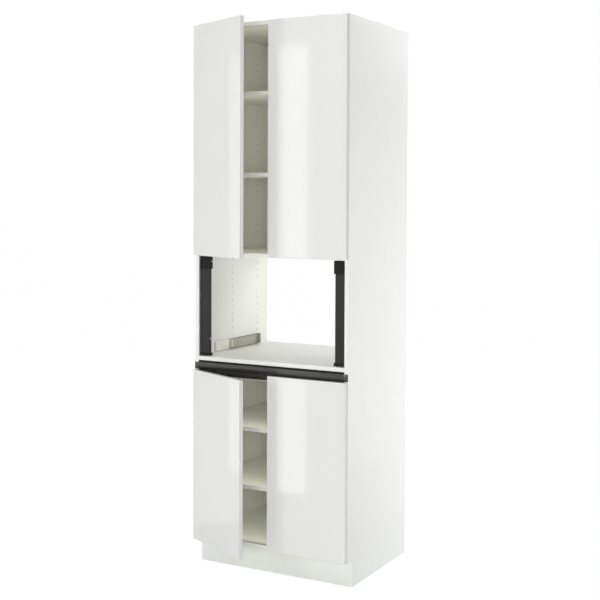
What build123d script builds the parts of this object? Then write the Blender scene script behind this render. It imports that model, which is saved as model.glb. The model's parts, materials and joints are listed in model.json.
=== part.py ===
from build123d import *
import os
from math import cos, radians, sin, sqrt

# Tall kitchen cabinet with an open bay for a built-in microwave, two doors above and two below.
# Frame: +X to the right, +Y to the back, +Z up. The origin is on the floor,
# under the middle of the plinth front board. Lengths are in millimetres.

# Carcase
width = 762.0
depth = 600.0
board = 18.0
leg_height = 114.0
lower_clear = 713.0
duct_clear = 54.0
bay_clear = 448.0
upper_clear = 981.0
back_thick = 4.0
back_rebate = 8.0
edge_ease = 0.6

# Small round holes, pins and screws repeat by the hundred, so they are drawn with a few flats
small_sides = 6
pivot_sides = 8
disc_sides = 8
leg_sides = 12
cup_sides = 16

# Shelves and the rows of holes that carry them
shelf_front_inset = 20.0
shelf_back_inset = 24.0
shelf_side_gap = 1.0
row_pitch = 32.0
row_front = 37.0
row_middle = 280.0
row_rear = 502.0
hole_radius = 2.5
hole_depth = 11.0
upper_first_hole = 16.0
lower_first_hole = 43.5
bay_first_hole = 69.5
bay_hole_count = 12
upper_shelf_rows = (10, 21)
lower_shelf_rows = (6, 14)
upper_hinge_rows = (2, 14, 27)
lower_hinge_rows = (1, 18)
pin_drop = 5.0
pin_head_radius = 3.5
pin_head_length = 8.0
pin_fit = 0.05
pin_end_gap = 1.0
notch_side_gap = 0.5
notch_end_gap = 1.0

# Plinth and legs
toe_recess = 52.0
plinth_thick = 16.0
plinth_side_inset = 2.0
plinth_top_gap = 1.0
groove_depth = 4.0
groove_half = 2.0
clip_drop = 43.3
clip_thick = 3.0
clip_half = 7.0
clip_mouth = 26.0
clip_bridge_width = 18.0
clip_tongue_width = 28.0
clip_tongue_reach = 6.0
clip_tongue_fit = 0.1
leg_side_inset = 75.0
leg_front_inset = 108.0
leg_back_inset = 70.0
leg_plate = 78.0
leg_plate_thick = 6.0
leg_plate_corner = 8.0
leg_screw_inset = 9.0
leg_web_inset = 4.0
leg_web_drop = 27.9
leg_web_thick = 3.0
leg_tube_radius = 21.0
leg_tube_wall = 3.0
leg_tube_length = 62.0
leg_tube_roof = 4.0
stem_radius = 11.0
stem_grip = 26.0
collar_height = 10.0
foot_radius = 30.0
foot_height = 14.0
foot_rim_height = 5.6
foot_taper = 45.0

# Doors
door_thick = 18.0
door_gap = 2.0
door_reveal = 3.0
door_end_reveal = 1.5
door_step_gap = 2.5
ajar_angle = 25.0

# Hinges, seen from above on the left side: u runs inward from the carcase's outer side,
# v runs into the carcase from its front plane. Each hinge works from 0 to 110 degrees.
cup_radius = 17.5
cup_wall = 1.2
cup_edge = 22.5
cup_inner_depth = 12.5
cup_floor = 0.8
cup_fit = 0.05
cheek_gap = 0.6
cheek_thick = 2.2
cheek_front = 3.2
cheek_shoulder = 2.2
cheek_rise = 3.6
flange_thick = 1.2
flange_half = 32.0
flange_width = 22.0
cup_screw_offset = 24.0
cup_screw_back = 5.0
cup_screw_length = 12.0
arm_pivot_u = 37.0
arm_pivot_v = -1.0
link_pivot_p = 11.0
link_pivot_q = 7.0
link_ratio = 0.29
link_half_height = 5.0
link_thick = 1.2
link_bed_gap = 0.2
link_eye = 2.5
arm_eye = 2.4
link_pin_radius = 1.25
arm_pin_radius = 1.4
pin_running = 0.05
arm_half_height = 7.3
arm_thick = 10.0
arm_nose = 8.0
arm_heel = 16.0
arm_shoulder = 26.0
arm_flat = 32.0
arm_back = 62.0
arm_slot_front = 44.0
arm_slot_back = 54.0
arm_slot_half = 2.6
arm_slot_floor = 3.0
fork_gap = 0.3
fork_reach = 9.0
plate_thick = 3.0
plate_half = 25.0
plate_front = 24.0
plate_back = 52.0
plate_corner = 4.0
plate_screw_grip = 9.0
screw_radius = 1.9
screw_head_radius = 3.4
screw_head_height = 1.6

# Bay fittings
trim_width = 48.5
trim_depth = 18.0
trim_wall = 2.0
trim_inset = 10.0
trim_gap = 0.3
trim_end_gap = 3.0
trim_cap_height = 56.0
trim_cap_reach = 7.0
trim_foot_height = 12.0
trim_cap_lap = 1.0
trim_cap_corner = 2.0
trim_tongue = 14.0
trim_tongue_gap = 0.2
trim_screw_heights = (78.0, 424.0)
rail_front_inset = 125.0
rail_back_inset = 518.0
rail_height = 45.0
rail_lift = 4.0
rail_wall = 1.5
rail_nose = 120.0
rail_flange = 13.0
rail_nose_step = 5.0
rail_nose_ramp = 8.0
rail_rib_offset = 28.0
rail_rib_thick = 2.0
rail_screw_front = 60.0
rail_screw_back = 50.0

# Ventilation profile below the bay
profile_wall = 2.5
profile_reach = 3.0
profile_face = 31.0
profile_straight = 14.0
profile_radius = 36.0
profile_sweep = 62.0
profile_tail = 15.0
profile_leg = 30.0
profile_lip = 9.0
profile_lip_inset = 0.5
profile_end_fit = 0.5
profile_side_gap = 0.2
profile_screw_count = 4
profile_screw_inset = 18.6
duct_front_inset = 24.0

# Wall brackets and connectors
bracket_width = 60.0
bracket_leg = 42.0
bracket_thick = 3.0
bracket_side_gap = 12.0
bracket_corner = 6.0
bracket_hole_drop = 26.04
bracket_screw_spread = 18.0
bracket_screw_back = 25.2
wall_hole_radius = 4.5
cam_radius = 7.5
cam_depth = 12.0
cam_inset = 34.0
cam_edge = 70.0
cam_fit = 0.05
buffer_radius = 4.0
buffer_height = 1.6
buffer_inset = 12.0

# Levels, from the floor up
front = -(toe_recess + plinth_thick / 2)
rear = front + depth
inner = width / 2 - board
base = leg_height
bottom_top = base + board
duct_floor = bottom_top + lower_clear
duct_floor_top = duct_floor + board
bay_floor = duct_floor_top + duct_clear
bay_floor_top = bay_floor + board
bay_roof = bay_floor_top + bay_clear
bay_roof_top = bay_roof + board
ceiling = bay_roof_top + upper_clear
top = ceiling + board
panel_back = rear - back_thick

# Doors and rows that follow from the levels
door_width = width / 2 - 2 * door_reveal
upper_door_bottom = bay_roof + door_step_gap
upper_door_height = top - door_end_reveal - upper_door_bottom
lower_door_bottom = base + door_end_reveal
lower_door_top = bay_floor - profile_lip - profile_face - door_step_gap
lower_door_height = lower_door_top - lower_door_bottom
upper_hinge_levels = [bay_roof_top + upper_first_hole + row_pitch * (n + 0.5) for n in upper_hinge_rows]
lower_hinge_levels = [bottom_top + lower_first_hole + row_pitch * (n + 0.5) for n in lower_hinge_rows]
cup_u = door_reveal + cup_edge


def block(x0, x1, y0, y1, z0, z1):
    """Return the box between two opposite corners."""
    size = (x1 - x0, y1 - y0, z1 - z0)
    return Pos(x0, y0, z0) * Box(*size, align=(Align.MIN, Align.MIN, Align.MIN))


def rod(x, y, z, radius, length, turn=(0, 0, 0)):
    """Return a cylinder that starts at a point and runs along +Z, turned as asked."""
    shape = Cylinder(radius, length, align=(Align.CENTER, Align.CENTER, Align.MIN))
    return Pos(x, y, z) * Rot(*turn) * shape


def peg(x, y, z, radius, length, turn=(0, 0, 0), sides=small_sides):
    """Return a small rod drawn with a few flats, none of which leaves its true circle."""
    return Pos(x, y, z) * Rot(*turn) * extrude(RegularPolygon(radius, sides), length)


def bore(x, y, z, radius, length, turn=(0, 0, 0), sides=small_sides):
    """Return the cutter of a small hole drawn with a few flats, none of which enters its true circle."""
    return Pos(x, y, z) * Rot(*turn) * extrude(RegularPolygon(radius, sides, major_radius=False), length)


def mirrored(shape):
    """Return the shape's twin on the other side of the cabinet."""
    return mirror(shape, about=Plane.YZ)


def both_sides(shapes):
    """Return the shapes and their twins."""
    return shapes + [mirrored(s) for s in shapes]


def save(name, shapes):
    """Write one named piece, or a group of like pieces, to its own file."""
    shapes = shapes if isinstance(shapes, list) else [shapes]
    solids = [solid for s in shapes for solid in s.solids()]
    export_step(Compound(children=solids) if len(solids) > 1 else solids[0], f"parts/{name}.step")
    print(f"{name}: {len(solids)}")


def upright_edges(shape):
    """Return the edges that run along Z."""
    return shape.edges().filter_by(Axis.Z)


# Side panels

def row_level(start, n):
    """Return the height of hole n of a row whose first hole is at start."""
    return start + row_pitch * n


def drilled_rows(start, rows, hinge_rows):
    """Return (depth, height) of the holes that carry the shelves and the hinge plates."""
    spots = [(y, row_level(start, row)) for row in rows for y in (row_front, row_rear)]
    return spots + [(row_front, row_level(start, row + n)) for row in hinge_rows for n in (0, 1)]


def left_side_panel():
    """Return the left side panel with its holes and the rebates of both back panels."""
    x0 = -width / 2
    panel = block(x0, x0 + board, front, rear, base, top)
    panel = chamfer(upright_edges(panel).group_by(Axis.Y)[0], edge_ease)
    for z0, z1 in back_spans():
        panel -= block(x0 + board - back_rebate, x0 + board + 1, panel_back, rear + 1, z0, z1)
    spots = drilled_rows(bay_roof_top + upper_first_hole, upper_shelf_rows, upper_hinge_rows)
    spots += drilled_rows(bottom_top + lower_first_hole, lower_shelf_rows, lower_hinge_rows)
    for n in range(bay_hole_count):
        level = row_level(bay_floor_top + bay_first_hole, n)
        spots += [(row_middle, level), (row_rear, level)]
    holes = []
    for y, z in sorted(set(spots)):
        holes.append(bore(x0 + board - hole_depth, front + y, z, hole_radius, hole_depth + 1, (0, 90, 0)))
    return panel - holes


def back_spans():
    """Return the height span of the lower and the upper back panel."""
    half = board / 2
    return [(base + half, duct_floor + half), (bay_roof + half, top - half)]


def back_panel(span):
    """Return a thin back panel that sits in the side panels' rebates, with its wall holes."""
    reach = inner + back_rebate
    panel = block(-reach, reach, panel_back, rear, *span)
    if span[1] > bay_roof:
        for x in (-bracket_x(), bracket_x()):
            panel -= rod(x, panel_back - 1, bracket_hole_level(), wall_hole_radius, back_thick + 2, (-90, 0, 0))
    return panel


# Fixed panels and their connectors

def cam_spots(y0, y1):
    """Return the plan positions of a panel's four connectors."""
    return [(s * (inner - cam_inset), y) for s in (-1, 1) for y in (y0 + cam_edge, y1 - cam_edge)]


def fixed_panel(z, cams_below, y0=None):
    """Return a carcase panel between the sides, bored for its connectors."""
    y0 = front if y0 is None else y0
    panel = block(-inner, inner, y0, panel_back, z, z + board)
    panel = chamfer(panel.edges().filter_by(Axis.X).group_by(Axis.Y)[0], edge_ease)
    for x, y in cam_spots(y0, panel_back):
        level = z - 1 if cams_below else z + board - cam_depth
        panel -= bore(x, y, level, cam_radius + cam_fit, cam_depth + 1, sides=disc_sides)
    return panel


def cams(z, cams_below, y0=None):
    """Return the eccentric connectors of one fixed panel."""
    y0 = front if y0 is None else y0
    level = z if cams_below else z + board - cam_depth
    return [peg(x, y, level, cam_radius, cam_depth, sides=disc_sides) for x, y in cam_spots(y0, panel_back)]


def shelf(level):
    """Return a loose shelf whose underside is notched over its four pins."""
    reach = inner - shelf_side_gap
    y0, y1 = front + shelf_front_inset, rear - shelf_back_inset
    plate = block(-reach, reach, y0, y1, level, level + board)
    plate = chamfer(plate.edges().filter_by(Axis.X).group_by(Axis.Y)[0], edge_ease)
    notch_top = level + pin_drop + pin_head_radius + pin_fit
    for y in (front + row_front, front + row_rear):
        half = pin_head_radius + notch_side_gap
        run = pin_head_length + notch_end_gap
        notch = block(inner - run, inner, y - half, y + half, level - 1, notch_top)
        plate = plate - notch - mirrored(notch)
    return plate


def shelf_pins(level):
    """Return the four pins of one shelf: a plug in the panel and a rounded head under the shelf."""
    z = level + pin_drop
    made = []
    for y in (front + row_front, front + row_rear):
        plug = peg(inner, y, z, hole_radius - pin_fit, hole_depth - pin_end_gap, (0, 90, 0))
        head = peg(inner - pin_head_length, y, z, pin_head_radius, pin_head_length, (0, 90, 0))
        made.append(plug + head)
    return both_sides(made)


# Legs and plinth

def leg_pair(y):
    """Return the plan positions of the two legs that stand at one depth."""
    x = width / 2 - leg_side_inset
    return [(-x, y), (x, y)]


def leg_spots():
    """Return the plan positions of the four legs, the front pair first."""
    return leg_pair(front + leg_front_inset) + leg_pair(rear - leg_back_inset)


def leg_socket(x, y):
    """Return a leg's plate and tube, hollow from below, with four ribs."""
    plate = Pos(x, y, base - leg_plate_thick / 2) * Box(leg_plate, leg_plate, leg_plate_thick)
    plate = chamfer(upright_edges(plate), leg_plate_corner)
    tube_top = base - leg_plate_thick
    tube = peg(x, y, tube_top - leg_tube_length, leg_tube_radius, leg_tube_length, sides=leg_sides)
    half = leg_plate / 2 - leg_web_inset
    inside = leg_tube_radius - leg_tube_wall
    root = (leg_tube_radius + inside) / 2
    web = Plane.XZ * Polygon((-half, 0), (half, 0), (root, -leg_web_drop), (-root, -leg_web_drop), align=None)
    web = extrude(web, leg_web_thick / 2, both=True)
    webs = [Pos(x, y, tube_top) * Rot(0, 0, turn) * web for turn in (45, 135)]
    hollow = peg(x, y, tube_top - leg_tube_length, inside, leg_tube_length - leg_tube_roof, sides=leg_sides)
    return plate + tube + webs - hollow


def leg_stem(x, y):
    """Return the threaded stem with the collar that closes the tube's mouth."""
    mouth = base - leg_plate_thick - leg_tube_length
    stem = peg(x, y, foot_height, stem_radius, mouth + stem_grip - foot_height, sides=disc_sides)
    return stem + peg(x, y, mouth, leg_tube_radius - leg_tube_wall, collar_height, sides=leg_sides)


def leg_foot(x, y):
    """Return the round foot with a gripping rim."""
    rim = peg(x, y, 0, foot_radius, foot_rim_height, sides=leg_sides)
    crown = extrude(RegularPolygon(foot_radius, leg_sides), foot_height - foot_rim_height, taper=foot_taper)
    return rim + Pos(x, y, foot_rim_height) * crown


def leg_screws(x, y):
    """Return the four screw heads under a leg's plate."""
    reach = leg_plate / 2 - leg_screw_inset
    level = base - leg_plate_thick - screw_head_height
    return [peg(x + i * reach, y + j * reach, level, screw_head_radius, screw_head_height)
            for i in (-1, 1) for j in (-1, 1)]


def plinth_front():
    """Return the plinth's front board, grooved behind for its clips."""
    reach = width / 2 - plinth_side_inset
    board_back = front + toe_recess + plinth_thick
    panel = block(-reach, reach, front + toe_recess, board_back, 0, base - plinth_top_gap)
    panel = chamfer(upright_edges(panel).group_by(Axis.Y)[0], edge_ease)
    low, high = clip_level() - groove_half, clip_level() + groove_half
    return panel - block(-reach - 1, reach + 1, board_back - groove_depth, board_back + 1, low, high)


def plinth_side():
    """Return the left side return of the plinth."""
    x0 = -width / 2 + plinth_side_inset
    return block(x0, x0 + plinth_thick, front + toe_recess + plinth_thick, rear, 0, base - plinth_top_gap)


def clip_level():
    """Return the height of the plinth clips' tongues."""
    return base - clip_drop


def plinth_clips():
    """Return the clips that hold the front board to the front legs."""
    level = clip_level()
    low, high = level - clip_half, level + clip_half
    groove_floor = front + toe_recess + plinth_thick - groove_depth
    board_back = groove_floor + groove_depth
    tongue_half = groove_half - clip_tongue_fit
    made = []
    for x, y in leg_pair(front + leg_front_inset):
        hoop = peg(x, y, low, leg_tube_radius + clip_thick, 2 * clip_half, sides=leg_sides)
        ring = hoop - peg(x, y, low - 1, leg_tube_radius, 2 * clip_half + 2, sides=leg_sides)
        ring -= block(x - clip_mouth / 2, x + clip_mouth / 2, y + leg_tube_radius / 2, y + 2 * leg_tube_radius,
                      low - 1, high + 1)
        side = clip_bridge_width / 2
        tube_front = y - leg_tube_radius
        bridge = block(x - side, x + side, board_back + 1, tube_front - 1, low, high)
        side -= clip_thick
        bridge -= block(x - side, x + side, board_back + clip_thick, tube_front - 1 - clip_thick, low - 1, high + 1)
        tongue = block(x - clip_tongue_width / 2, x + clip_tongue_width / 2, groove_floor,
                       groove_floor + clip_tongue_reach, level - tongue_half, level + tongue_half)
        made.append(ring + bridge + tongue)
    return made


# Doors and hinges

def hinge_point(u, v):
    """Return the plan position of a hinge point on the left side."""
    return (-width / 2 + u, front + v)


def link_pivot():
    """Return the closed place of the pivot inside the cup, as u and v."""
    return (door_reveal + link_pivot_p, -door_gap - link_pivot_q)


def turned(shape, pivot, angle):
    """Return the shape turned about an upright axis through a plan point."""
    x, y = pivot
    return Pos(x, y, 0) * Rot(0, 0, angle) * Pos(-x, -y, 0) * shape


def on_link(shape, opening):
    """Return a left hinge's link at a door opening."""
    return turned(shape, hinge_point(arm_pivot_u, arm_pivot_v), link_ratio * opening)


def on_door(shape, opening):
    """Return a piece of a left door at an opening: it turns in the link, and the link turns in the arm."""
    seated = turned(shape, hinge_point(*link_pivot()), -(1 + link_ratio) * opening)
    return on_link(seated, opening)


def plan(points, z0, z1):
    """Return the prism over a plan outline given in u and v, between two heights."""
    outline = Polygon(*[hinge_point(u, v) for u, v in points], align=None)
    return Pos(0, 0, z0) * extrude(outline, z1 - z0)


def cup(z):
    """Return a hinge cup: bowl, flange and the two cheeks that hold the link's pin."""
    x, y = hinge_point(cup_u, -door_gap)
    bowl = peg(x, y, z, cup_radius, cup_inner_depth + cup_floor, (90, 0, 0), cup_sides)
    flange = Pos(x + cup_screw_back, y + flange_thick / 2, z) * Box(flange_width, flange_thick, 2 * flange_half)
    flange = chamfer(flange.edges().filter_by(Axis.Y), flange_width / 4)
    inside = cup_radius - cup_wall
    hollow = bore(x, y + flange_thick, z, inside, cup_inner_depth + flange_thick, (90, 0, 0), cup_sides)
    shell = bowl + flange - hollow
    pu, pv = link_pivot()
    wall = cup_u - sqrt((cup_radius - cup_wall) ** 2 - cup_pin_half() ** 2) - cup_wall / 2
    floor = -door_gap - cup_inner_depth - cup_floor / 2
    nose = pu + cheek_front
    rise = pv + cheek_rise
    cheek = [(wall, floor), (nose, floor), (nose, pv + cheek_shoulder), (pu, rise), (wall, rise)]
    for side in (-1, 1):
        near, far = sorted((z + side * (link_half_height + cheek_gap), z + side * cup_pin_half()))
        shell += plan(cheek, near, far)
    for level in (z - cup_screw_offset, z + cup_screw_offset):
        shell -= bore(x + cup_screw_back, y + flange_thick, level, screw_radius, flange_thick, (90, 0, 0))
    px, py = hinge_point(pu, pv)
    return shell - peg(px, py, z - cup_pin_half(), link_pin_radius, 2 * cup_pin_half(), sides=pivot_sides)


def cup_pin_half():
    """Return half the length of the pin that crosses the cup."""
    return link_half_height + cheek_gap + cheek_thick


def cup_screws(z):
    """Return a cup's two countersunk screws."""
    x, y = hinge_point(cup_u + cup_screw_back, -door_gap)
    made = []
    for level in (z - cup_screw_offset, z + cup_screw_offset):
        head = peg(x, y + flange_thick + screw_head_height, level, screw_head_radius, screw_head_height, (90, 0, 0))
        made.append(head + peg(x, y + flange_thick, level, screw_radius, cup_screw_length, (90, 0, 0)))
    return made


def link_pin(z):
    """Return the pin in a cup that carries the link."""
    x, y = hinge_point(*link_pivot())
    return peg(x, y, z - cup_pin_half(), link_pin_radius, 2 * cup_pin_half(), sides=pivot_sides)


def link(z):
    """Return the bent link that dips under the cup's mouth and rises to the arm."""
    pu, pv = link_pivot()
    floor = -door_gap - cup_inner_depth + link_bed_gap
    bed = floor + link_thick
    strap = [(pu - 1.0, pv - 2.3), (pu + 2.5, floor), (pu + 13.5, floor), (arm_pivot_u - 3.5, -10.6),
             (arm_pivot_u + 1.9, arm_pivot_v - 1.4), (arm_pivot_u - 1.5, arm_pivot_v - 1.8),
             (arm_pivot_u - 5.1, -9.3), (pu + 12.8, bed), (pu + 4.2, bed), (pu + 1.8, pv - 1.6)]
    z0, z1 = z - link_half_height, z + link_half_height
    cup_x, cup_y = hinge_point(pu, pv)
    arm_x, arm_y = hinge_point(arm_pivot_u, arm_pivot_v)
    eyes = [(cup_x, cup_y, link_eye, link_pin_radius), (arm_x, arm_y, arm_eye, arm_pin_radius)]
    body = plan(strap, z0, z1)
    for x, y, eye, _ in eyes:
        body += peg(x, y, z0, eye, z1 - z0, sides=pivot_sides)
    for x, y, _, pin in eyes:
        body -= bore(x, y, z0, pin + pin_running, z1 - z0, sides=pivot_sides)
    return body


def hinge_arm(z):
    """Return an arm: forked around the link in front, with its adjusting slot behind."""
    u, v = arm_pivot_u, arm_pivot_v
    seat = board + plate_thick
    back = seat + arm_thick
    outline = [(u + arm_eye, v), (u + arm_eye, v + arm_nose), (back + 2, arm_shoulder), (back, arm_flat),
               (back, arm_back), (seat, arm_back), (seat, plate_front), (seat + 4, arm_heel),
               (u - arm_eye, v + 5), (u - arm_eye, v)]
    z0, z1 = z - arm_half_height, z + arm_half_height
    x, y = hinge_point(u, v)
    body = plan(outline, z0, z1) + peg(x, y, z0, arm_eye, z1 - z0, sides=pivot_sides)
    gap = link_half_height + fork_gap
    fork = [(u + i * fork_reach, v + j * fork_reach) for i, j in ((-1, -1), (1, -1), (1, 1), (-1, 1))]
    body -= plan(fork, z - gap, z + gap)
    body -= peg(x, y, z0, arm_pin_radius, z1 - z0, sides=pivot_sides)
    floor = seat + arm_slot_floor
    slot = [(floor, arm_slot_front), (back + 1, arm_slot_front), (back + 1, arm_slot_back), (floor, arm_slot_back)]
    return body - plan(slot, z - arm_slot_half, z + arm_slot_half)


def arm_pin(z):
    """Return the riveted pin that joins the link to the arm."""
    x, y = hinge_point(arm_pivot_u, arm_pivot_v)
    return peg(x, y, z - arm_half_height, arm_pin_radius, 2 * arm_half_height, sides=pivot_sides)


def mounting_plate(z):
    """Return the plate between the side panel and the arm, with two wings for its screws."""
    x0 = -width / 2 + board
    y0, y1 = front + plate_front, front + plate_back
    spine = block(x0, x0 + plate_thick, y0, front + arm_back, z - arm_half_height, z + arm_half_height)
    wings = block(x0, x0 + plate_thick, y0, y1, z - plate_half, z + plate_half)
    wings = chamfer(wings.edges().filter_by(Axis.X), plate_corner)
    plate = spine + wings
    for level in (z - row_pitch / 2, z + row_pitch / 2):
        plate -= bore(x0, front + row_front, level, screw_radius, plate_thick, (0, 90, 0))
    return plate


def plate_screws(z):
    """Return the two screws that hold a mounting plate in the row holes."""
    x0 = -width / 2 + board
    made = []
    for level in (z - row_pitch / 2, z + row_pitch / 2):
        head = peg(x0 + plate_thick, front + row_front, level, screw_head_radius, screw_head_height, (0, 90, 0))
        shank = peg(x0 + plate_thick, front + row_front, level, screw_radius, plate_thick + plate_screw_grip,
                    (0, -90, 0))
        made.append(head + shank)
    return made


def door(bottom, height, levels):
    """Return a closed left door with its cup bores and eased front edges."""
    x0 = -width / 2 + door_reveal
    y0 = front - door_gap - door_thick
    slab = block(x0, x0 + door_width, y0, y0 + door_thick, bottom, bottom + height)
    slab = chamfer(slab.faces().sort_by(Axis.Y)[0].edges(), edge_ease)
    for z in levels:
        x, y = hinge_point(cup_u, -door_gap)
        slab -= bore(x, y, z, cup_radius + cup_fit, cup_inner_depth + cup_floor + cup_fit, (90, 0, 0), cup_sides)
        for level in (z - cup_screw_offset, z + cup_screw_offset):
            slab -= bore(x + cup_screw_back, y, level, screw_radius, cup_screw_length, (90, 0, 0))
    return slab


def door_buffers(bottom, height):
    """Return the two soft pads behind a door's free corners, which meet the carcase when it shuts."""
    x = -width / 2 + door_reveal + door_width - buffer_inset
    y = front - door_gap
    levels = (bottom + door_end_reveal + board / 2, bottom + height - board / 2)
    return [peg(x, y, z, buffer_radius, buffer_height, (-90, 0, 0), pivot_sides) for z in levels]


def door_set(tag, bottom, height, levels):
    """Write a left door, ajar, and its closed twin on the right, each with its hinges."""
    pieces = {
        "door": [door(bottom, height, levels)],
        "hinge_cups": [cup(z) for z in levels],
        "cup_screws": [s for z in levels for s in cup_screws(z)],
        "link_pins": [link_pin(z) for z in levels],
        "door_buffers": door_buffers(bottom, height),
    }
    links = [link(z) for z in levels]
    for kind, shapes in pieces.items():
        save(f"{kind}_{tag}_left", [on_door(s, ajar_angle) for s in shapes])
        save(f"{kind}_{tag}_right", [mirrored(s) for s in shapes])
    save(f"hinge_links_{tag}_left", [on_link(s, ajar_angle) for s in links])
    save(f"hinge_links_{tag}_right", [mirrored(s) for s in links])


# Bay fittings

def trim_span():
    """Return the lowest and highest level of an upright trim, its caps included."""
    return bay_floor_top + trim_end_gap, bay_roof - trim_end_gap


def trim_left():
    """Return the left upright trim: a channel, open to the back and to the panel."""
    z0, z1 = trim_span()
    z0 += trim_foot_height
    z1 -= trim_cap_height
    x0, y0 = -inner + trim_gap, front + trim_inset
    shell = block(x0, x0 + trim_width, y0, y0 + trim_depth, z0, z1)
    shell = chamfer(upright_edges(shell).group_by(Axis.Y)[0].sort_by(Axis.X)[1:], edge_ease)
    hollow = block(x0 + trim_wall, x0 + trim_width - trim_wall, y0 + trim_wall, rear, z0 - 1, z1 + 1)
    shell -= hollow
    for height in trim_screw_heights:
        level = bay_floor_top + height
        if z0 < level < z1:
            shell -= bore(x0 + trim_width, y0 + trim_depth / 2, level, screw_radius, trim_wall, (0, -90, 0))
    return shell


def trim_end(z0, z1):
    """Return a moulded end piece of the left trim, with a tongue inside the channel."""
    x0, y0 = -inner + trim_gap, front + trim_inset
    x1, y1 = x0 + trim_width + trim_cap_reach, y0 + trim_depth + trim_cap_lap
    body = block(x0, x1, y0 - trim_cap_lap, y1, z0, z1)
    body = chamfer(upright_edges(body).sort_by(Axis.X)[2:], trim_cap_corner)
    up = z1 < bay_floor_top + bay_clear / 2
    tongue_z = (z1, z1 + trim_tongue) if up else (z0 - trim_tongue, z0)
    inset = trim_wall + trim_tongue_gap
    return body + block(x0 + inset, x0 + trim_width - inset, y0 + inset, y0 + trim_depth, *tongue_z)


def trim_screws():
    """Return the two small screws on the left trim's inner return."""
    made = []
    for height in trim_screw_heights:
        level = bay_floor_top + height
        upper = level > bay_roof - trim_end_gap - trim_cap_height
        x = -inner + trim_gap + trim_width + (trim_cap_reach if upper else 0)
        made.append(peg(x, front + trim_inset + trim_depth / 2, level, screw_head_radius, screw_head_height,
                        (0, 90, 0)))
    return made


def support_rail():
    """Return the left steel rail: a stepped nose in front and a flanged channel behind."""
    z0 = bay_floor_top + rail_lift
    z1 = z0 + rail_height
    x0 = -inner
    y0, y1 = front + rail_front_inset, front + rail_back_inset
    split = y0 + rail_nose
    step = rail_nose_step
    web = block(x0, x0 + rail_wall, split, y1, z0, z1)
    rib_front = split + rail_rib_offset
    rib_back = rib_front + rail_rib_thick
    top_flange = block(x0, x0 + rail_flange, rib_back, y1, z1 - rail_wall, z1)
    low_flange = block(x0, x0 + rail_flange, split, y1, z0, z0 + rail_wall)
    end_plate = block(x0, x0 + rail_flange, y1 - rail_wall, y1, z0, z1)
    ramp = y0 + rail_nose_ramp
    under = x0 + step - rail_wall
    nose_outline = Polygon((x0, y0), (x0 + step, ramp), (x0 + step, split), (under, split), (under, ramp + 1),
                           (x0, y0 + rail_wall), align=None)
    nose = Pos(0, 0, z0) * extrude(nose_outline, rail_height)
    bridge = block(x0, x0 + step, split - rail_wall, split, z0, z1)
    rib = block(x0, x0 + step, rib_front, rib_back, z0, z1)
    body = web + top_flange + low_flange + end_plate + nose + bridge + rib
    for y in rail_screw_depths():
        body -= bore(x0, y, z0 + rail_height / 2, screw_radius, rail_wall, (0, 90, 0))
    return body


def rail_screw_depths():
    """Return the two screw positions along a rail."""
    return (front + rail_front_inset + rail_nose + rail_screw_front, front + rail_back_inset - rail_screw_back)


def rail_screws():
    """Return the left rail's screws."""
    x0 = -inner + rail_wall
    level = bay_floor_top + rail_lift + rail_height / 2
    return [peg(x0, y, level, screw_head_radius, screw_head_height, (0, 90, 0)) for y in rail_screw_depths()]


def profile_section():
    """Return the outline of the ventilation profile: lip, flat face, inward sweep and tail."""
    face = front - profile_reach
    face_top = bay_floor - profile_lip
    turn = radians(profile_sweep)
    start = face_top - profile_straight
    centre = face + profile_radius
    end = (centre - profile_radius * cos(turn), start - profile_radius * sin(turn))
    mid = (centre - profile_radius * cos(turn / 2), start - profile_radius * sin(turn / 2))
    r_in = profile_radius - profile_wall
    end_in = (centre - r_in * cos(turn), start - r_in * sin(turn))
    mid_in = (centre - r_in * cos(turn / 2), start - r_in * sin(turn / 2))
    lip = front + profile_lip_inset
    with BuildSketch(Plane.YZ) as sketch:
        with BuildLine():
            Polyline((face, start), (face, face_top), (lip, face_top), (lip, bay_floor),
                     (lip + profile_leg, bay_floor), (lip + profile_leg, bay_floor - profile_wall),
                     (lip + profile_wall, bay_floor - profile_wall), (lip + profile_wall, face_top - profile_wall),
                     (face + profile_wall, face_top - profile_wall), (face + profile_wall, start))
            ThreePointArc((face + profile_wall, start), mid_in, end_in)
            Polyline(end_in, (end_in[0], end_in[1] - profile_tail), (end[0], end_in[1] - profile_tail), end)
            ThreePointArc(end, mid, (face, start))
        make_face()
    return sketch.sketch


def ventilation_profile():
    """Return the black profile: the full section between the sides, its flat face in front of them too."""
    reach = inner - profile_end_fit
    body = extrude(Pos(-reach, 0, 0) * profile_section(), 2 * reach, dir=(1, 0, 0))
    face_top = bay_floor - profile_lip
    low = face_top - profile_face
    strip = block(-width / 2, width / 2, front - profile_reach, front - profile_side_gap, low, face_top)
    hollow = block(-reach, reach, front - profile_reach - 1, front + 1, low - 1, face_top + 1)
    return body + (strip - hollow)


def profile_screws():
    """Return the screws that hold the profile's leg under the bay floor."""
    pitch = 2 * inner / profile_screw_count
    level = bay_floor - profile_wall - screw_head_height
    return [peg(-inner + pitch * (n + 0.5), front + profile_screw_inset, level, screw_head_radius, screw_head_height)
            for n in range(profile_screw_count)]


# Wall brackets

def bracket_x():
    """Return how far each wall bracket's middle is from the cabinet's middle."""
    return inner - bracket_side_gap - bracket_width / 2


def bracket_hole_level():
    """Return the height of the wall holes."""
    return ceiling - bracket_hole_drop


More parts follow.
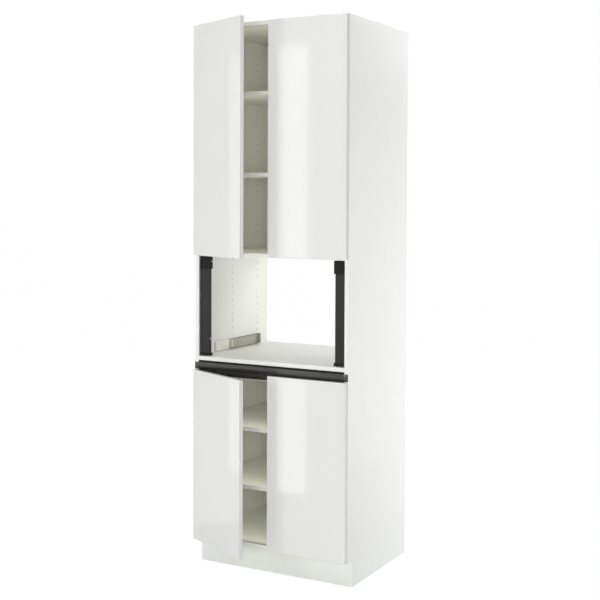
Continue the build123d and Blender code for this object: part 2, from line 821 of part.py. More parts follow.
def wall_bracket():
    """Return the right wall bracket: an angle under the top panel against the back panel."""
    x0 = bracket_x() - bracket_width / 2
    x1 = x0 + bracket_width
    upright = block(x0, x1, panel_back - bracket_thick, panel_back, ceiling - bracket_leg, ceiling)
    level = block(x0, x1, panel_back - bracket_leg, panel_back, ceiling - bracket_thick, ceiling)
    angle = chamfer((upright + level).edges().filter_by(Axis.Y).sort_by(Axis.Z)[0:2], bracket_corner)
    spot = (bracket_x(), panel_back - bracket_thick, bracket_hole_level())
    return angle - bore(*spot, wall_hole_radius, bracket_thick, (-90, 0, 0), disc_sides)


def bracket_screws():
    """Return the two screw heads under the right wall bracket."""
    level = ceiling - bracket_thick - screw_head_height
    y = panel_back - bracket_screw_back
    return [peg(bracket_x() + s * bracket_screw_spread, y, level, screw_head_radius, screw_head_height)
            for s in (-1, 1)]


def main():
    """Write every piece of the cabinet."""
    os.makedirs("parts", exist_ok=True)
    side = left_side_panel()
    save("side_panel_left", side)
    save("side_panel_right", mirrored(side))
    duct_front = front + duct_front_inset
    panels = {
        "bottom_panel": (base, True, None),
        "duct_floor_panel": (duct_floor, False, duct_front),
        "bay_floor_panel": (bay_floor, True, None),
        "bay_roof_panel": (bay_roof, False, None),
        "top_panel": (ceiling, False, None),
    }
    for name, (level, below, y0) in panels.items():
        save(name, fixed_panel(level, below, y0))
    save("cam_connectors", [c for level, below, y0 in panels.values() for c in cams(level, below, y0)])
    lower_span, upper_span = back_spans()
    save("back_panel_lower", back_panel(lower_span))
    save("back_panel_upper", back_panel(upper_span))

    shelf_levels = [row_level(bottom_top + lower_first_hole, n) - pin_drop for n in lower_shelf_rows]
    shelf_levels += [row_level(bay_roof_top + upper_first_hole, n) - pin_drop for n in upper_shelf_rows]
    for n, level in enumerate(shelf_levels):
        save(f"shelf_{n + 1}", shelf(level))
    save("shelf_pins", [p for level in shelf_levels for p in shelf_pins(level)])

    legs = leg_spots()
    save("leg_sockets", [leg_socket(*spot) for spot in legs])
    save("leg_stems", [leg_stem(*spot) for spot in legs])
    save("leg_feet", [leg_foot(*spot) for spot in legs])
    save("plinth_front", plinth_front())
    save("plinth_side_left", plinth_side())
    save("plinth_side_right", mirrored(plinth_side()))
    save("plinth_clips", plinth_clips())

    door_set("upper", upper_door_bottom, upper_door_height, upper_hinge_levels)
    door_set("lower", lower_door_bottom, lower_door_height, lower_hinge_levels)
    levels = upper_hinge_levels + lower_hinge_levels
    save("hinge_arms", both_sides([hinge_arm(z) for z in levels]))
    save("arm_pins", both_sides([arm_pin(z) for z in levels]))
    save("mounting_plates", both_sides([mounting_plate(z) for z in levels]))
    save("plate_screws", both_sides([s for z in levels for s in plate_screws(z)]))

    z0, z1 = trim_span()
    save("trim_left", trim_left())
    save("trim_right", mirrored(trim_left()))
    save("trim_caps", both_sides([trim_end(z1 - trim_cap_height, z1)]))
    save("trim_shoes", both_sides([trim_end(z0, z0 + trim_foot_height)]))
    save("support_rail_left", support_rail())
    save("support_rail_right", mirrored(support_rail()))
    save("ventilation_profile", ventilation_profile())
    save("wall_brackets", both_sides([wall_bracket()]))
    pan_screws = both_sides(trim_screws() + rail_screws() + bracket_screws()) + profile_screws()
    save("pan_head_screws", pan_screws + [s for spot in legs for s in leg_screws(*spot)])


if __name__ == "__main__":
    main()
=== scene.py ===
"""Looks of a tall white kitchen cabinet with an open appliance bay and doors above and below it."""

import json
import logging
import math
from dataclasses import dataclass, field
from enum import Enum

import bmesh
import bpy
from mathutils import Matrix, Vector


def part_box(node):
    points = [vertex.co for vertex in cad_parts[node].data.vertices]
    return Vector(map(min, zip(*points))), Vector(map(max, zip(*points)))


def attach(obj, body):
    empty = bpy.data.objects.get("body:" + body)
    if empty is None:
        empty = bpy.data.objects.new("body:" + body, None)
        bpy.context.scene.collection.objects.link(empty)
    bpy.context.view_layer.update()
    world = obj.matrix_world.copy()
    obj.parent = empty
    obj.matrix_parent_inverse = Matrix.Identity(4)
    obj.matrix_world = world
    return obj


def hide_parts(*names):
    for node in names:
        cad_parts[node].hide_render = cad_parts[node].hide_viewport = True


log = logging.getLogger("cabinet")
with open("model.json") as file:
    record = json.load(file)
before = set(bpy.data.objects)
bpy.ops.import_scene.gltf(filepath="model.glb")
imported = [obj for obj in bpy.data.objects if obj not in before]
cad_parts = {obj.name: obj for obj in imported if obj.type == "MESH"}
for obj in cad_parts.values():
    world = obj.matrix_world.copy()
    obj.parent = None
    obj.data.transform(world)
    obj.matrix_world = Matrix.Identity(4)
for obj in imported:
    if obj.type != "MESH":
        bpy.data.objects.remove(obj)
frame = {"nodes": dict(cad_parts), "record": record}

Point = tuple[float, float, float]
Outline = list[tuple[float, float]]

MM = 0.001
CARCASS = "carcass"
IMAGE_SIDE = 600
# A cutter starts this far outside the face that it cuts.
OVERCUT = MM
# Faces that meet at less than this are shaded as one curve.
SMOOTH_ANGLE = math.radians(35)


class Pattern(Enum):
    """How a surface's fine detail is laid out."""

    GRAIN = "even, random grain"
    BRUSHED = "fine lines along one axis"
    SPANGLE = "crystal flakes, as on hot-dip zinc"
    FIBRE = "short pressed fibres"


# How many times longer than wide the detail is, in the patterns that have a direction.
STRETCH = {Pattern.BRUSHED: 60, Pattern.FIBRE: 5}
# The parts of the noise's range over which the tone and the gloss change.
TONE_SPAN = (0.45, 1.05)
GLOSS_SPAN = (0.3, 0.7)
PATCH_DETAIL = 3.0
GRAIN_DETAIL = 4.0
# How much the fine grain counts in the tone, beside the wide patches.
GRAIN_SHARE = 0.5
COAT_ROUGHNESS = 0.04
RELIEF_STRENGTH = 0.35


class Side(Enum):
    """The two sides of the cabinet, as the sign of X."""

    LEFT = -1
    RIGHT = 1

    @property
    def label(self) -> str:
        """Return the side's word in the names of nodes."""
        return self.name.lower()


def linear(hex_colour: str) -> tuple[float, float, float, float]:
    """Turn an sRGB hex colour to linear light.

    Args:
        hex_colour: the colour as "#RRGGBB".

    Returns:
        Red, green, blue and an alpha of 1.
    """
    parts = [int(hex_colour[n:n + 2], 16) / 255 for n in (1, 3, 5)]
    red, green, blue = [c / 12.92 if c <= 0.04045 else ((c + 0.055) / 1.055) ** 2.4 for c in parts]
    return (red, green, blue, 1.0)


def add_node(tree: bpy.types.NodeTree, kind: str, settings: dict | None = None,
             links: dict | None = None) -> bpy.types.Node:
    """Add a node, set it up and link its inputs.

    Args:
        tree: the node tree that it goes into.
        kind: the node's type.
        settings: values by input name, input number or attribute name.
        links: (node, output) by input name or number.

    Returns:
        The new node.
    """
    node = tree.nodes.new(kind)
    for key, value in (settings or {}).items():
        if isinstance(key, int) or key in node.inputs:
            node.inputs[key].default_value = value
        else:
            setattr(node, key, value)
    for key, (source, output) in (links or {}).items():
        tree.links.new(source.outputs[output], node.inputs[key])
    return node


@dataclass(frozen=True)
class Finish:
    """A surface: its two close tones, its gloss and the fine relief that catches the light."""

    name: str
    tone: str
    deep_tone: str
    roughness: float
    roughness_spread: float = 0.04
    metallic: float = 0.0
    coat: float = 0.0
    specular: float = 0.5
    patch_mm: float = 90.0
    grain_mm: float = 1.2
    relief_mm: float = 0.02
    pattern: Pattern = Pattern.GRAIN
    lines_along: int = 0

    def grain_scale(self) -> Point:
        """Return the pattern's repeats per metre along each axis."""
        repeats = 1 / (self.grain_mm * MM)
        scale = [repeats] * 3
        scale[self.lines_along] = repeats / STRETCH.get(self.pattern, 1)
        return tuple(scale)

    def grain(self, tree: bpy.types.NodeTree, place: bpy.types.Node) -> tuple[bpy.types.Node, str]:
        """Add the nodes of the fine detail.

        Args:
            tree: the material's node tree.
            place: the node that gives the coordinates.

        Returns:
            The detail's node and the name of the output that holds it.
        """
        stretched = add_node(tree, "ShaderNodeMapping", {"Scale": self.grain_scale()},
                             {"Vector": (place, "Object")})
        where = {"Vector": (stretched, "Vector")}
        if self.pattern is Pattern.SPANGLE:
            return add_node(tree, "ShaderNodeTexVoronoi", {"Scale": 1.0}, where), "Color"
        return add_node(tree, "ShaderNodeTexNoise", {"Scale": 1.0, "Detail": GRAIN_DETAIL}, where), "Fac"

    def build(self) -> bpy.types.Material:
        """Build the material.

        Returns:
            A node material with tone, gloss and relief worked out from the fields.
        """
        material = bpy.data.materials.new(self.name)
        material.use_nodes = True
        tree = material.node_tree
        tree.nodes.clear()
        place = add_node(tree, "ShaderNodeTexCoord")
        patches = add_node(tree, "ShaderNodeTexNoise",
                           {"Scale": 1 / (self.patch_mm * MM), "Detail": PATCH_DETAIL},
                           {"Vector": (place, "Object")})
        grain = self.grain(tree, place)
        blend = add_node(tree, "ShaderNodeMath", {"operation": "MULTIPLY_ADD", 1: GRAIN_SHARE},
                         {0: grain, 2: (patches, "Fac")})
        share = add_node(tree, "ShaderNodeMapRange", {"From Min": TONE_SPAN[0], "From Max": TONE_SPAN[1]},
                         {"Value": (blend, 0)})
        # A mix node's colours are its inputs 6 and 7, and its mixed colour is output 2.
        tone = add_node(tree, "ShaderNodeMix",
                        {"data_type": "RGBA", 6: linear(self.tone), 7: linear(self.deep_tone)},
                        {0: (share, 0)})
        gloss = add_node(tree, "ShaderNodeMapRange",
                         {"From Min": GLOSS_SPAN[0], "From Max": GLOSS_SPAN[1],
                          "To Min": self.roughness - self.roughness_spread,
                          "To Max": self.roughness + self.roughness_spread},
                         {"Value": grain})
        relief = add_node(tree, "ShaderNodeBump",
                          {"Strength": RELIEF_STRENGTH, "Distance": self.relief_mm * MM}, {"Height": grain})
        shader = add_node(tree, "ShaderNodeBsdfPrincipled",
                          {"Metallic": self.metallic, "Coat Weight": self.coat,
                           "Coat Roughness": COAT_ROUGHNESS, "Specular IOR Level": self.specular},
                          {"Base Color": (tone, 2), "Roughness": (gloss, 0), "Normal": (relief, 0)})
        add_node(tree, "ShaderNodeOutputMaterial", {}, {"Surface": (shader, "BSDF")})
        return material


# Door fronts: MDF wrapped in PET foil, pressed flat. A smooth, cool white with a crisp mirror of the lights
# under a very slight waviness about 40 mm long.
GLOSS_FOIL = Finish("gloss_pet_foil", "#E6E6E4", "#E4E4E2", 0.05, 0.01, patch_mm=300, grain_mm=40,
                    relief_mm=0.002)
# Carcase: chipboard faced with melamine paper, pressed on a fine plate. Satin white with a dry, soft sheen.
MELAMINE = Finish("melamine_board", "#EBEBE7", "#E8E8E4", 0.42, 0.05, grain_mm=1.5, relief_mm=0.02)
# Holes in the carcase: raw chipboard where the drill went through the melamine, brown and open-grained.
RAW_CHIPBOARD = Finish("raw_chipboard", "#7A674C", "#5E4D37", 0.9, 0.05, patch_mm=6, grain_mm=1.5,
                       relief_mm=0.3)
# Backs: lacquered hardboard. Duller than the carcase, with short pressed fibres in the lacquer.
HARDBOARD = Finish("lacquered_hardboard", "#E4E4E1", "#DFDFDB", 0.55, 0.05, grain_mm=3, relief_mm=0.05,
                   pattern=Pattern.FIBRE, lines_along=2)
# Plinth: chipboard wrapped in satin foil, a trace greener than the fronts.
SATIN_FOIL = Finish("satin_plinth_foil", "#EAECE7", "#E7E9E4", 0.33, 0.03, grain_mm=2, relief_mm=0.01)
# Hinges: nickel-plated pressed steel. A warm, soft mirror with faint tool marks.
NICKEL = Finish("nickel_plated_steel", "#C9C5BD", "#B8B4AC", 0.24, 0.05, metallic=1.0, patch_mm=12,
                grain_mm=0.6)
# Screws, pins and brackets: bright zinc on steel, a bluish grey, a little rougher than nickel.
ZINC = Finish("bright_zinc_steel", "#BFC2C4", "#A9ACAF", 0.32, 0.06, metallic=1.0, patch_mm=10,
              grain_mm=0.6)
# Rails: hot-dip galvanised sheet, skin-passed between rolls: its flakes, about 5 mm across, only tint the
# mirror.
GALVANISED = Finish("galvanised_sheet", "#D0D0C8", "#C9C9C1", 0.3, 0.015, metallic=1.0, patch_mm=40,
                    grain_mm=5, relief_mm=0.0004, pattern=Pattern.SPANGLE)
# The rails' channels: the same sheet, a little rougher, in a darker tone that is painted shade of the
# recessed channel.
SHADED_CHANNEL_SHEET = Finish("channel_sheet_painted_shade", "#A3A197", "#96948A", 0.38, 0.03, metallic=1.0, patch_mm=60,
                      grain_mm=1, relief_mm=0.004, pattern=Pattern.BRUSHED, lines_along=1)
# Ventilation profile: black anodised aluminium, drawn through a die, so its lines run along its length.
BLACK_ANODISED = Finish("black_anodised_aluminium", "#424241", "#3A3A39", 0.3, 0.04, metallic=0.75,
                        grain_mm=1.0, pattern=Pattern.BRUSHED, lines_along=0)
# Upright trims: black powder-coated steel with the coat's fine orange peel, about 1.5 mm from bump to bump.
POWDER_COAT = Finish("black_powder_coat", "#212120", "#1B1B1A", 0.5, 0.05, specular=0.22, grain_mm=1.5,
                     relief_mm=0.05)
# Trim ends and the profile's lip: moulded ABS with an eroded, matt grain.
MOULDED_ABS = Finish("moulded_black_abs", "#191918", "#141413", 0.55, 0.05, specular=0.12, grain_mm=0.9,
                     relief_mm=0.04)
# Legs and plinth clips: moulded polypropylene, greyer and waxier than ABS.
POLYPROPYLENE = Finish("moulded_polypropylene", "#262626", "#1F1F1F", 0.4, 0.06, grain_mm=1.2,
                       relief_mm=0.03)
# Door pads: soft clear polyurethane over white foil, so they read as a milky gloss.
SOFT_PAD = Finish("clear_polyurethane_pad", "#DADAD5", "#D2D2CC", 0.2, 0.03, grain_mm=2)
# Floor: matt white paint, almost without detail of its own.
WHITE_PAINT = Finish("white_studio_paint", "#F4F4F4", "#F3F3F3", 0.8, 0.02, grain_mm=8, relief_mm=0.01)

SLOT_FINISHES = {
    "gloss_white_front": GLOSS_FOIL,
    "white_board": MELAMINE,
    "white_hardboard": HARDBOARD,
    "white_plinth": SATIN_FOIL,
    "nickel_steel": NICKEL,
    "zinc_steel": ZINC,
    "galvanised_steel": GALVANISED,
    "black_aluminium": BLACK_ANODISED,
    "black_lacquered_steel": POWDER_COAT,
    "black_plastic": MOULDED_ABS,
    "leg_plastic": POLYPROPYLENE,
    "clear_buffer": SOFT_PAD,
}


@dataclass
class Workshop:
    """Makes pieces from meshes and gives each one its finish and its body."""

    materials: dict[Finish, bpy.types.Material] = field(default_factory=dict)

    def material(self, finish: Finish) -> bpy.types.Material:
        """Return the material of a finish, built on its first use."""
        if finish not in self.materials:
            self.materials[finish] = finish.build()
        return self.materials[finish]

    def dress_frame(self) -> None:
        """Give every carried-over node the material of its slot."""
        subparts = frame["record"]["subparts"]
        for part in subparts:
            mesh = frame["nodes"][part["node"]].data
            mesh.materials.clear()
            mesh.materials.append(self.material(SLOT_FINISHES[part["material_slot"]]))
        log.info("finishes on %d nodes", len(subparts))

    def piece(self, name: str, mesh: bpy.types.Mesh, body: str, slot: str, *replaced: str) -> None:
        """Turn a mesh into a piece of the cabinet.

        Args:
            name: the piece's name.
            mesh: its mesh, in the frame's metres, with its own materials or none.
            body: the body that carries it.
            slot: its material slot.
            replaced: the nodes that it stands for.
        """
        thing = bpy.data.objects.new(name, mesh)
        bpy.context.scene.collection.objects.link(thing)
        if not mesh.materials:
            mesh.materials.append(self.material(SLOT_FINISHES[slot]))
        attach(thing, body)
        if replaced:
            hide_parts(*replaced)
        log.info("%s: %d faces on %s", name, len(mesh.polygons), body)


def islands(node: str) -> list[list[Vector]]:
    """Split a node's mesh into its loose solids.

    Args:
        node: the node's name.

    Returns:
        The corners of each solid.
    """
    shape = bmesh.new()
    shape.from_mesh(frame["nodes"][node].data)
    bmesh.ops.remove_doubles(shape, verts=shape.verts, dist=1e-6)
    left = set(shape.verts)
    groups = []
    while left:
        reach = [left.pop()]
        group = []
        while reach:
            corner = reach.pop()
            group.append(corner.co.copy())
            for edge in corner.link_edges:
                other = edge.other_vert(corner)
                if other in left:
                    left.remove(other)
                    reach.append(other)
        groups.append(group)
    shape.free()
    return sorted(groups, key=lambda g: (round(g[0].z, 4), round(g[0].x, 4), round(g[0].y, 4)))


def spans(corners: list[Vector]) -> tuple[Vector, Vector]:
    """Return the lowest and the highest corner of a set of points."""
    low = Vector([min(c[i] for c in corners) for i in range(3)])
    high = Vector([max(c[i] for c in corners) for i in range(3)])
    return low, high


def facing(place: Vector, axis: Vector) -> Matrix:
    """Return the matrix that puts a form at a place with its Z axis along another axis."""
    return Matrix.Translation(place) @ axis.to_track_quat("Z", "X").to_matrix().to_4x4()


def mesh_from(shape: bmesh.types.BMesh, name: str, smooth: bool = False) -> bpy.types.Mesh:
    """Turn an edit mesh into a mesh with clean normals, and free it.

    Args:
        shape: the edit mesh.
        name: the new mesh's name.
        smooth: whether faces that meet at a small angle are shaded as one curve.

    Returns:
        The mesh.
    """
    bmesh.ops.recalc_face_normals(shape, faces=shape.faces)
    mesh = bpy.data.meshes.new(name)
    shape.to_mesh(mesh)
    shape.free()
    if smooth:
        mesh.shade_smooth()
        mesh.set_sharp_from_angle(angle=SMOOTH_ANGLE)
    return mesh


def add_box(shape: bmesh.types.BMesh, low: Point, high: Point, bevel: float = 0.0) -> None:
    """Add a box between two corners, with its edges eased.

    Args:
        shape: the edit mesh.
        low: the lowest corner.
        high: the highest corner.
        bevel: how far the edges are eased.
    """
    made = bmesh.ops.create_cube(shape, size=1.0)["verts"]
    for corner in made:
        corner.co = Vector([(a + b) / 2 + c * (b - a) for a, b, c in zip(low, high, corner.co)])
    if bevel:
        edges = list({edge for corner in made for edge in corner.link_edges})
        bmesh.ops.bevel(shape, geom=edges, offset=bevel, segments=2, profile=0.5, affect="EDGES")


def add_lathe(shape: bmesh.types.BMesh, profile: Outline, place: Matrix, steps: int = 32) -> None:
    """Add a turned form.

    Args:
        shape: the edit mesh.
        profile: (radius, height) from one end of the axis to the other.
        place: where the form's origin and its Z axis go.
        steps: how many faces go round it.
    """
    rings = []
    for radius, height in profile:
        ring = []
        for n in range(steps if radius else 1):
            turn = 2 * math.pi * n / steps
            spot = Vector((radius * math.cos(turn), radius * math.sin(turn), height))
            ring.append(shape.verts.new(place @ spot))
        rings.append(ring)
    for low, high in zip(rings, rings[1:]):
        for n in range(steps):
            around = (low[n % len(low)], low[(n + 1) % len(low)],
                      high[(n + 1) % len(high)], high[n % len(high)])
            # At a tip, where a ring is a single corner, the repeated corner is left out.
            corners = list(dict.fromkeys(around))
            if len(corners) > 2:
                shape.faces.new(corners)


def add_prism(shape: bmesh.types.BMesh, outline: Outline, x0: float, x1: float) -> None:
    """Add a bar of one section along X.

    Args:
        shape: the edit mesh.
        outline: the section's corners as (y, z).
        x0: where the bar starts.
        x1: where it ends.
    """
    start, end = [[shape.verts.new((x, y, z)) for y, z in outline] for x in (x0, x1)]
    for n in range(len(outline)):
        m = (n + 1) % len(outline)
        shape.faces.new((start[n], start[m], end[m], end[n]))
    shape.faces.new(start)
    shape.faces.new(end)


def cross_bars(width: float, reach: float, floor: float, top: float, stagger: float) -> bpy.types.Mesh:
    """Make two crossing bars that cut a cross recess.

    Args:
        width: each bar's width.
        reach: how far each bar goes from the middle.
        floor: the first bar's lower face.
        top: the first bar's upper face, above the form that it cuts.
        stagger: how much higher the second bar lies, so that no two of their faces share a plane.

    Returns:
        The cutter.
    """
    shape = bmesh.new()
    half = width / 2
    add_box(shape, (-reach, -half, floor), (reach, half, top))
    add_box(shape, (-half, -reach, floor + stagger), (half, reach, top + stagger))
    return mesh_from(shape, "cross")


def carved(body: bpy.types.Mesh, cutter: bpy.types.Mesh, name: str) -> bpy.types.Mesh:
    """Cut one mesh out of another.

    Args:
        body: the mesh that stays.
        cutter: the mesh that is cut away, whose materials line the cut.
        name: the name of the result.

    Returns:
        The carved mesh.
    """
    solid = bpy.data.objects.new("solid", body)
    tool = bpy.data.objects.new("tool", cutter)
    for thing in (solid, tool):
        bpy.context.scene.collection.objects.link(thing)
    cut = solid.modifiers.new("cut", "BOOLEAN")
    cut.operation = "DIFFERENCE"
    cut.solver = "EXACT"
    cut.material_mode = "TRANSFER"
    cut.object = tool
    depsgraph = bpy.context.evaluated_depsgraph_get()
    result = bpy.data.meshes.new_from_object(solid.evaluated_get(depsgraph))
    result.name = name
    for thing in (solid, tool):
        bpy.data.objects.remove(thing)
    return result


@dataclass
class SidePanel:
    """A full-height side panel with the whole rows of holes on its inner face."""

    side: Side
    row_pitch: float = 32 * MM
    hole_radius: float = 2.5 * MM
    hole_depth: float = 11 * MM
    hole_steps: int = 16
    drill_tip: float = 0.6 * MM
    front_row: float = 37 * MM
    middle_row: float = 280 * MM
    rear_row: float = 502 * MM
    lower_start: float = 43.5 * MM
    lower_count: int = 20
    upper_start: float = 16 * MM
    upper_count: int = 30
    bay_start: float = 69.5 * MM
    bay_count: int = 12
    ease: float = 0.5 * MM
    back_rebate: float = 8 * MM

    @property
    def node(self) -> str:
        """Return the node that the panel stands for."""
        return f"side_panel_{self.side.label}"

    def rows(self) -> list[tuple[float, float, int]]:
        """Lay out the rows of holes.

        Returns:
            The depth, the lowest hole's height and the count of each row.
        """
        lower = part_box("bottom_panel")[1][2] + self.lower_start
        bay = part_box("bay_floor_panel")[1][2] + self.bay_start
        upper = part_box("bay_roof_panel")[1][2] + self.upper_start
        rows = []
        for depth in (self.front_row, self.rear_row):
            rows.append((depth, lower, self.lower_count))
            rows.append((depth, upper, self.upper_count))
        for depth in (self.middle_row, self.rear_row):
            rows.append((depth, bay, self.bay_count))
        return rows

    def cuts(self, inner: float, front: float) -> bpy.types.Mesh:
        """Make the cutter of the holes and of the back panels' rebates.

        Args:
            inner: X of the inner face.
            front: Y of the front edge.

        Returns:
            The cutter.
        """
        outward = self.side.value
        mouth = inner - outward * OVERCUT
        length = self.hole_depth + OVERCUT
        profile = [(0, 0), (self.hole_radius, 0), (self.hole_radius, length), (0, length + self.drill_tip)]
        shape = bmesh.new()
        for depth, start, count in self.rows():
            for n in range(count):
                place = Vector((mouth, front + depth, start + n * self.row_pitch))
                add_lathe(shape, profile, facing(place, Vector((outward, 0, 0))), self.hole_steps)
        near, far = sorted((mouth, inner + outward * self.back_rebate))
        for node in ("back_panel_lower", "back_panel_upper"):
            low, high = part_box(node)
            add_box(shape, (near, low[1], low[2]), (far, high[1] + OVERCUT, high[2]))
        return mesh_from(shape, "holes")

    def build(self, shop: Workshop) -> None:
        """Make the panel, raw chipboard inside its holes and rebates.

        Args:
            shop: the workshop that finishes the piece.
        """
        low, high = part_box(self.node)
        board = bmesh.new()
        add_box(board, low, high, self.ease)
        panel = mesh_from(board, "board")
        cutter = self.cuts(high[0] if self.side is Side.LEFT else low[0], low[1])
        panel.materials.append(shop.material(MELAMINE))
        cutter.materials.append(shop.material(RAW_CHIPBOARD))
        name = f"{self.node}_drilled"
        shop.piece(name, carved(panel, cutter, name), CARCASS, "white_board", self.node)


# A pan head's section from its seat to its crown, as shares of its radius and its height.
PAN_HEAD = ((0, 0), (0.96, 0), (1, 0.2), (0.97, 0.55), (0.8, 0.88), (0.5, 1), (0, 1))


@dataclass
class ScrewSet:
    """Round cross-recess screws that stand for a node of plain ones."""

    node: str
    body: str
    head_radius: float = 3.4 * MM
    head_height: float = 1.6 * MM
    head_steps: int = 24
    recess_width: float = 0.9 * MM
    recess_reach: float = 1.9 * MM
    recess_floor: float = 0.56 * MM
    recess_stagger: float = 0.0016 * MM
    recess_turn: float = math.radians(30)
    # A plain screw longer than this many head radii has a shank.
    shank_share: float = 2.2
    # What lies beyond this share of a screw's reach belongs to its far end.
    end_share: float = 0.86
    # The far end is the shank's tip where it spreads less than this many head radii.
    tip_share: float = 0.8

    def head(self) -> bpy.types.Mesh:
        """Make one pan head.

        Returns:
            The head at the origin, its cross recess upward.
        """
        form = bmesh.new()
        profile = [(self.head_radius * r, self.head_height * h) for r, h in PAN_HEAD]
        add_lathe(form, profile, Matrix.Identity(4), self.head_steps)
        bars = cross_bars(self.recess_width, self.recess_reach, self.recess_floor,
                          self.head_height + OVERCUT, self.recess_stagger)
        return carved(mesh_from(form, "head"), bars, "screw_head")

    def axis_of(self, corners: list[Vector]) -> tuple[Vector, Vector]:
        """Find where a plain screw's head sits and where it looks.

        Args:
            corners: the plain screw's corners.

        Returns:
            The middle of the head's seat and the direction of its recess.
        """
        middle = sum(corners, Vector()) / len(corners)
        low, high = spans(corners)
        if max(high - low) > self.shank_share * self.head_radius:
            reach = max((c - middle).length for c in corners)
            end = [c for c in corners if (c - middle).length > reach * self.end_share]
            end_middle = sum(end, Vector()) / len(end)
            look = (end_middle - middle).normalized()
            if max((c - end_middle).length for c in end) < self.head_radius * self.tip_share:
                look = -look
            top = max((c - middle).dot(look) for c in corners)
            return middle + look * (top - self.head_height), look
        sizes = list(high - low)
        thin = sizes.index(min(sizes))
        look = Vector((0, 0, -1)) if thin == 2 else Vector((-math.copysign(1, middle.x), 0, 0))
        return middle - look * self.head_height / 2, look

    def build(self, shop: Workshop) -> None:
        """Make the screws and let them stand for their node.

        Args:
            shop: the workshop that finishes the piece.
        """
        head = self.head()
        shape = bmesh.new()
        for corners in islands(self.node):
            seat, look = self.axis_of(corners)
            copy = head.copy()
            copy.transform(facing(seat, look) @ Matrix.Rotation(self.recess_turn, 4, "Z"))
            shape.from_mesh(copy)
        name = f"{self.node}_heads"
        shop.piece(name, mesh_from(shape, name, smooth=True), self.body, "zinc_steel", self.node)


@dataclass
class VentilationProfile:
    """The black profile above the lower doors: a drawn face that sweeps inward, under a moulded lip."""

    node: str = "ventilation_profile"
    lip_height: float = 9 * MM
    lip_inset: float = 3.5 * MM
    lip_reach: float = 30 * MM
    wall: float = 2.5 * MM
    straight: float = 14 * MM
    radius: float = 36 * MM
    sweep: float = math.radians(62)
    tail: float = 15 * MM
    tab_height: float = 31 * MM
    tab_depth: float = 2.8 * MM
    end_inset: float = 18.5 * MM
    arc_steps: int = 20
    ease: float = 0.4 * MM

    def arc(self, radius: float, face: float, start: float) -> Outline:
        """Lay out the inward sweep at one radius.

        Args:
            radius: the arc's radius.
            face: Y of the profile's face.
            start: Z at which the sweep starts.

        Returns:
            The arc's points as (y, z), from its top.
        """
        turns = [self.sweep * n / self.arc_steps for n in range(self.arc_steps + 1)]
        centre = face + self.radius
        return [(centre - radius * math.cos(turn), start - radius * math.sin(turn)) for turn in turns]

    def face_outline(self, face: float, top: float) -> Outline:
        """Lay out the section of the drawn face, its upper edge eased.

        Args:
            face: Y of the profile's face.
            top: Z of its upper edge.

        Returns:
            The section's corners as (y, z).
        """
        start = top - self.straight
        outer = self.arc(self.radius, face, start)
        inner = self.arc(self.radius - self.wall, face, start)
        foot = inner[-1][1] - self.tail
        back = face + self.lip_inset + self.wall
        head = [(back, top - self.wall), (back, top), (face + self.ease, top), (face, top - self.ease)]
        tail = [(outer[-1][0], foot), (inner[-1][0], foot)]
        return head + outer + tail + inner[::-1] + [(face + self.wall, top - self.wall)]

    def lip_outline(self, face: float, top: float) -> Outline:
        """Lay out the section of the moulded lip.

        Args:
            face: Y of the profile's face.
            top: Z of the lip's upper face.

        Returns:
            The section's corners as (y, z).
        """
        front, low, ease = face + self.lip_inset, top - self.lip_height, 2 * self.ease
        back = front + self.lip_reach
        return [(front, low), (front, top - ease), (front + ease, top), (back, top), (back, top - self.wall),
                (front + self.wall, top - self.wall), (front + self.wall, low)]

    def build(self, shop: Workshop) -> None:
        """Make the face and the lip and let them stand for the node.

        Args:
            shop: the workshop that finishes the pieces.
        """
        low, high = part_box(self.node)
        face_top = high[2] - self.lip_height
        reach = high[0] - self.end_inset
        face, lip = bmesh.new(), bmesh.new()
        add_prism(face, self.face_outline(low[1], face_top), -reach, reach)
        for x0, x1 in ((low[0], -reach), (reach, high[0])):
            tab_low = (x0, low[1], face_top - self.tab_height)
            add_box(face, tab_low, (x1, low[1] + self.tab_depth, face_top), self.ease)
        add_prism(lip, self.lip_outline(low[1], high[2]), -reach, reach)
        for name, shape, slot in (("ventilation_face", face, "black_aluminium"),
                                  ("ventilation_lip", lip, "black_plastic")):
            shop.piece(name, mesh_from(shape, name, smooth=True), CARCASS, slot, self.node)


